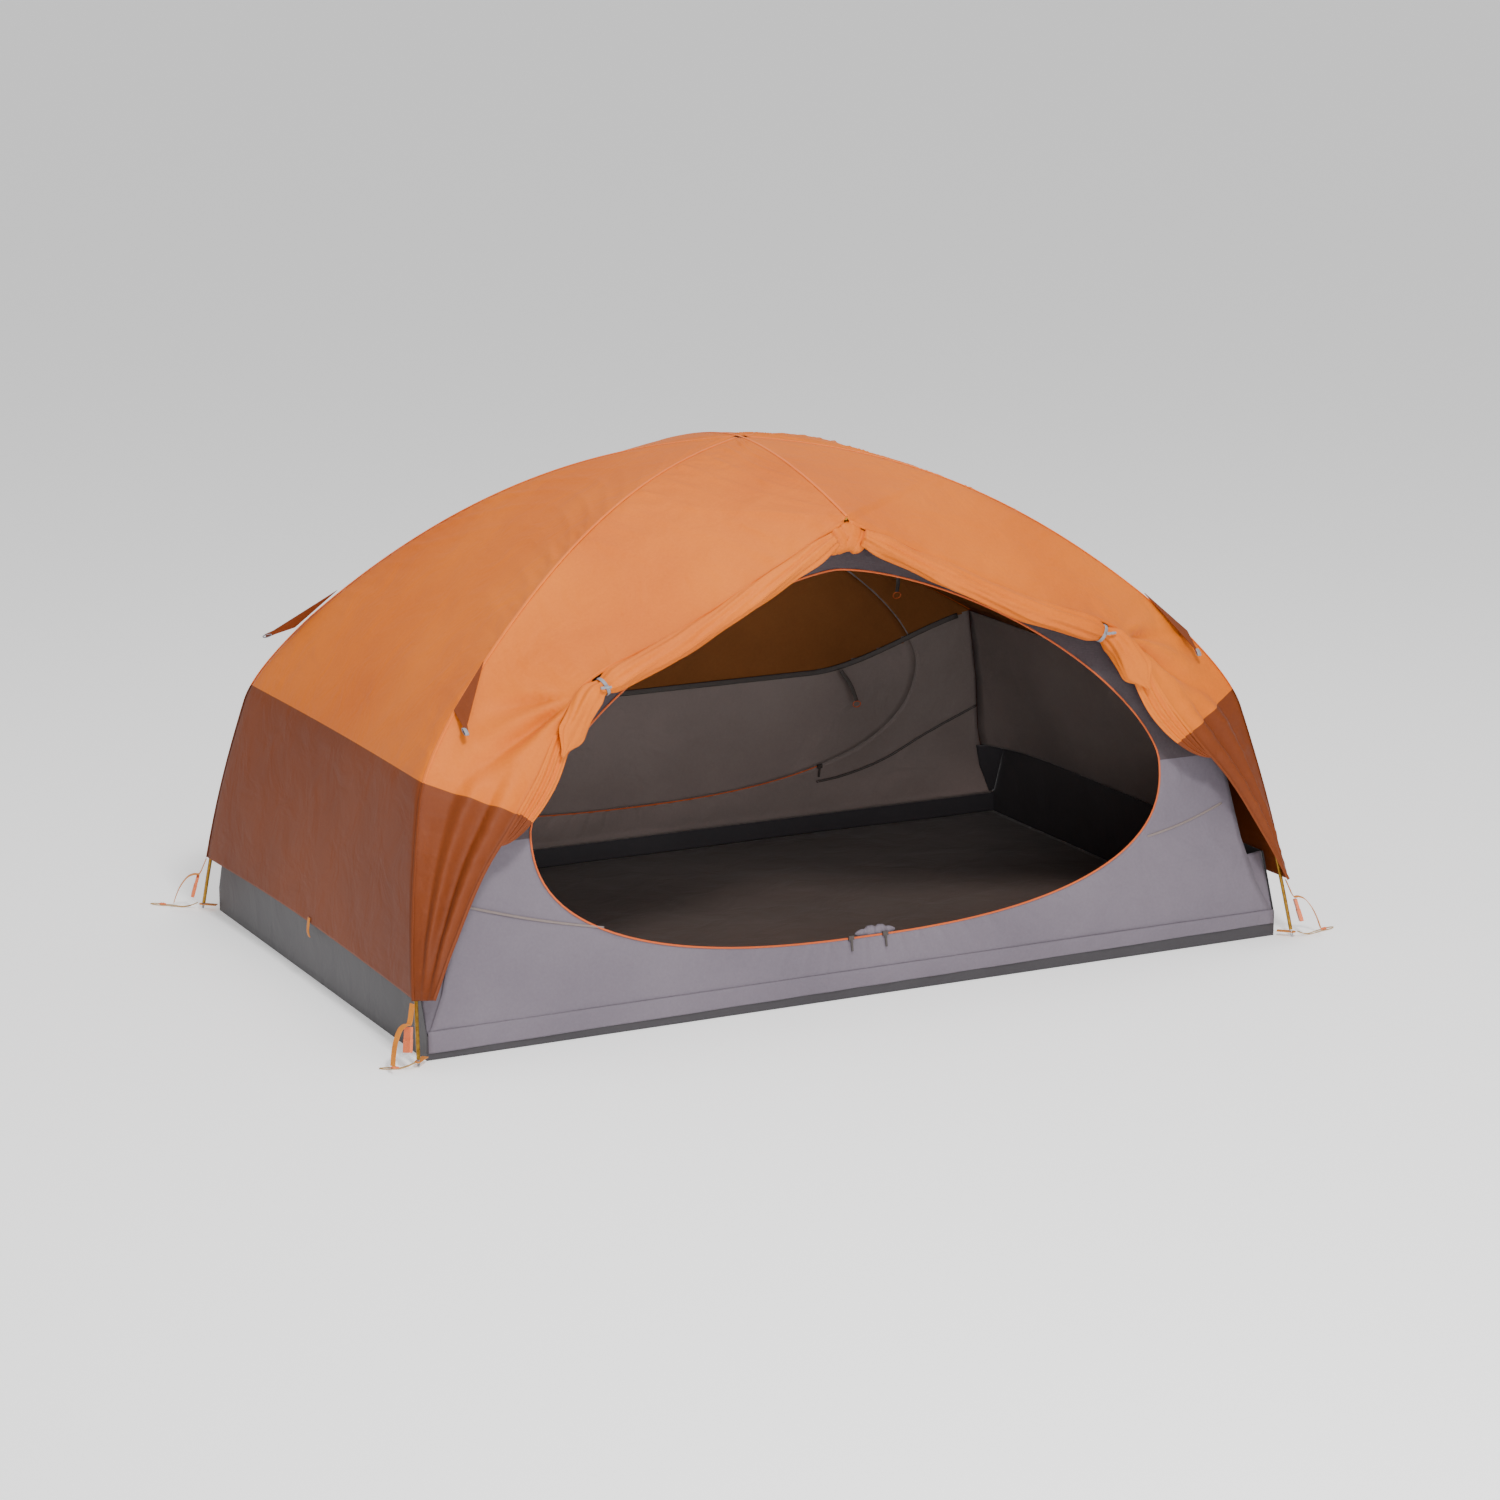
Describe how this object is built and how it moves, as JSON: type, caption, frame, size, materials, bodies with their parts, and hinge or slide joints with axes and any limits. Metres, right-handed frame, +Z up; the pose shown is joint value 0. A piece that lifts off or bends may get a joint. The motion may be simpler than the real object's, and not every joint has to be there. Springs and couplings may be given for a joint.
{
  "type": "tent on poles",
  "caption": "Low dome tent on crossing knee-bent poles with a ridge pole, rolled front fly door, oval inner door, closed rear porch and buckled corners.",
  "frame": {"origin": "centre of the floor underside, on the ground", "axes": "+X along the floor length, the open front door faces -Y, +Z up"},
  "size_m": [2.5439, 2.0278, 1.2175],
  "materials": {
    "pole_gold": "anodised gold aluminium tube",
    "tip_metal": "bare turned aluminium",
    "trim_grey": "moulded plastic",
    "fly_orange": "coated ripstop nylon, satin",
    "fly_rust": "coated ripstop nylon, satin",
    "zip_dark": "coil zip with painted slider",
    "tub_charcoal": "coated floor nylon",
    "wall_grey": "uncoated breathable nylon",
    "mesh_brown": "fine insect mesh, brown",
    "webbing_gold": "woven polyester webbing",
    "cord_orange": "braided cord",
    "buckle_orange": "moulded acetal"
  },
  "bodies": {
    "tent": {"buckle_plug_back_left": "buckle_orange", "buckle_plug_back_right": "buckle_orange", "buckle_plug_front_left": "buckle_orange", "buckle_plug_front_right": "buckle_orange", "corner_tab_back_left": "webbing_gold", "corner_tab_back_right": "webbing_gold", "corner_tab_front_left": "webbing_gold", "corner_tab_front_right": "webbing_gold", "crossing_clip": "trim_grey", "door_roll_left": "fly_orange", "door_roll_right": "fly_orange", "dropped_door": "wall_grey", "floor_tub": "tub_charcoal", "fly_back_left": "fly_orange", "fly_back_right": "fly_orange", "fly_end_left_lower": "fly_rust", "fly_end_left_upper": "fly_orange", "fly_end_right_lower": "fly_rust", "fly_end_right_upper": "fly_orange", "fly_front_left_lower": "fly_rust", "fly_front_left_upper": "fly_orange", "fly_front_right_lower": "fly_rust", "fly_front_right_upper": "fly_orange", "fly_strap_back_left": "webbing_gold", "fly_strap_back_right": "webbing_gold", "fly_strap_front_left": "webbing_gold", "fly_strap_front_right": "webbing_gold", "inner_back_door": "wall_grey", "inner_back_wall": "wall_grey", "inner_ceiling": "mesh_brown", "inner_end_left": "wall_grey", "inner_end_right": "wall_grey", "inner_front_wall": "wall_grey", "pole_front_left_to_back_right": "pole_gold", "pole_front_right_to_back_left": "pole_gold", "pole_tip_back_left": "tip_metal", "pole_tip_back_right": "tip_metal", "pole_tip_front_left": "tip_metal", "pole_tip_front_right": "tip_metal", "ridge_pole": "pole_gold", "stake_cord_back_left": "cord_orange", "stake_cord_back_right": "cord_orange", "stake_cord_front_left": "cord_orange", "stake_cord_front_right": "cord_orange", "vestibule_zip": "zip_dark"},
    "vestibule_slider": {"vestibule_slider": "zip_dark"},
    "front_slider_left": {"front_slider_left": "zip_dark"},
    "front_slider_right": {"front_slider_right": "zip_dark"},
    "back_slider": {"back_slider": "zip_dark"},
    "roll_toggle_left": {"roll_toggle_left": "trim_grey"},
    "roll_toggle_right": {"roll_toggle_right": "trim_grey"},
    "buckle_socket_front_left": {"buckle_socket_front_left": "buckle_orange"},
    "guy_tab_front_left": {"guy_tab_front_left": "fly_rust"},
    "buckle_socket_front_right": {"buckle_socket_front_right": "buckle_orange"},
    "guy_tab_front_right": {"guy_tab_front_right": "fly_rust"},
    "buckle_socket_back_left": {"buckle_socket_back_left": "buckle_orange"},
    "guy_tab_back_left": {"guy_tab_back_left": "fly_rust"},
    "buckle_socket_back_right": {"buckle_socket_back_right": "buckle_orange"},
    "guy_tab_back_right": {"guy_tab_back_right": "fly_rust"}
  },
  "joints": [
    {"name": "vestibule_slider_slide", "type": "slide", "parent": "tent", "child": "vestibule_slider", "axis": [0, -0.5702, 0.8215], "range_m": [0, 1.17]},
    {"name": "front_slider_left_turn", "type": "hinge", "parent": "tent", "child": "front_slider_left", "pos_m": [0, 0.002, 3.37107], "axis": [0, -0.9791, 0.2033], "range_deg": [-6.94, 0]},
    {"name": "front_slider_right_turn", "type": "hinge", "parent": "tent", "child": "front_slider_right", "pos_m": [0, 0.002, 3.37107], "axis": [0, -0.9791, 0.2033], "range_deg": [0, 6.94]},
    {"name": "back_slider_turn", "type": "hinge", "parent": "tent", "child": "back_slider", "pos_m": [0, 0.07933, 2.97942], "axis": [0, 0.9791, 0.2033], "range_deg": [0, 20.75]},
    {"name": "roll_toggle_left_turn", "type": "hinge", "parent": "tent", "child": "roll_toggle_left", "pos_m": [-0.65652, -0.64716, 0.7919], "axis": [0, -1, 0], "range_deg": [-90, 90]},
    {"name": "roll_toggle_right_turn", "type": "hinge", "parent": "tent", "child": "roll_toggle_right", "pos_m": [0.65652, -0.64716, 0.7919], "axis": [0, -1, 0], "range_deg": [-90, 90]},
    {"name": "buckle_socket_front_left_slide", "type": "slide", "parent": "tent", "child": "buckle_socket_front_left", "axis": [-0.1785, -0.2942, -0.9389], "range_m": [0, 0.018]},
    {"name": "guy_tab_front_left_turn", "type": "hinge", "parent": "tent", "child": "guy_tab_front_left", "pos_m": [-0.96413, -0.50145, 0.7424], "axis": [-0.6664, -0.3473, -0.6598], "range_deg": [0, 60]},
    {"name": "buckle_socket_front_right_slide", "type": "slide", "parent": "tent", "child": "buckle_socket_front_right", "axis": [0.1785, -0.2942, -0.9389], "range_m": [0, 0.018]},
    {"name": "guy_tab_front_right_turn", "type": "hinge", "parent": "tent", "child": "guy_tab_front_right", "pos_m": [0.96413, -0.50145, 0.7424], "axis": [-0.6664, 0.3473, 0.6598], "range_deg": [0, 60]},
    {"name": "buckle_socket_back_left_slide", "type": "slide", "parent": "tent", "child": "buckle_socket_back_left", "axis": [-0.1785, 0.2942, -0.9389], "range_m": [0, 0.018]},
    {"name": "guy_tab_back_left_turn", "type": "hinge", "parent": "tent", "child": "guy_tab_back_left", "pos_m": [-0.96413, 0.50145, 0.7424], "axis": [-0.6664, 0.3473, -0.6598], "range_deg": [0, 60]},
    {"name": "buckle_socket_back_right_slide", "type": "slide", "parent": "tent", "child": "buckle_socket_back_right", "axis": [0.1785, 0.2942, -0.9389], "range_m": [0, 0.018]},
    {"name": "guy_tab_back_right_turn", "type": "hinge", "parent": "tent", "child": "guy_tab_back_right", "pos_m": [0.96413, 0.50145, 0.7424], "axis": [-0.6664, -0.3473, 0.6598], "range_deg": [0, 60]}
  ]
}
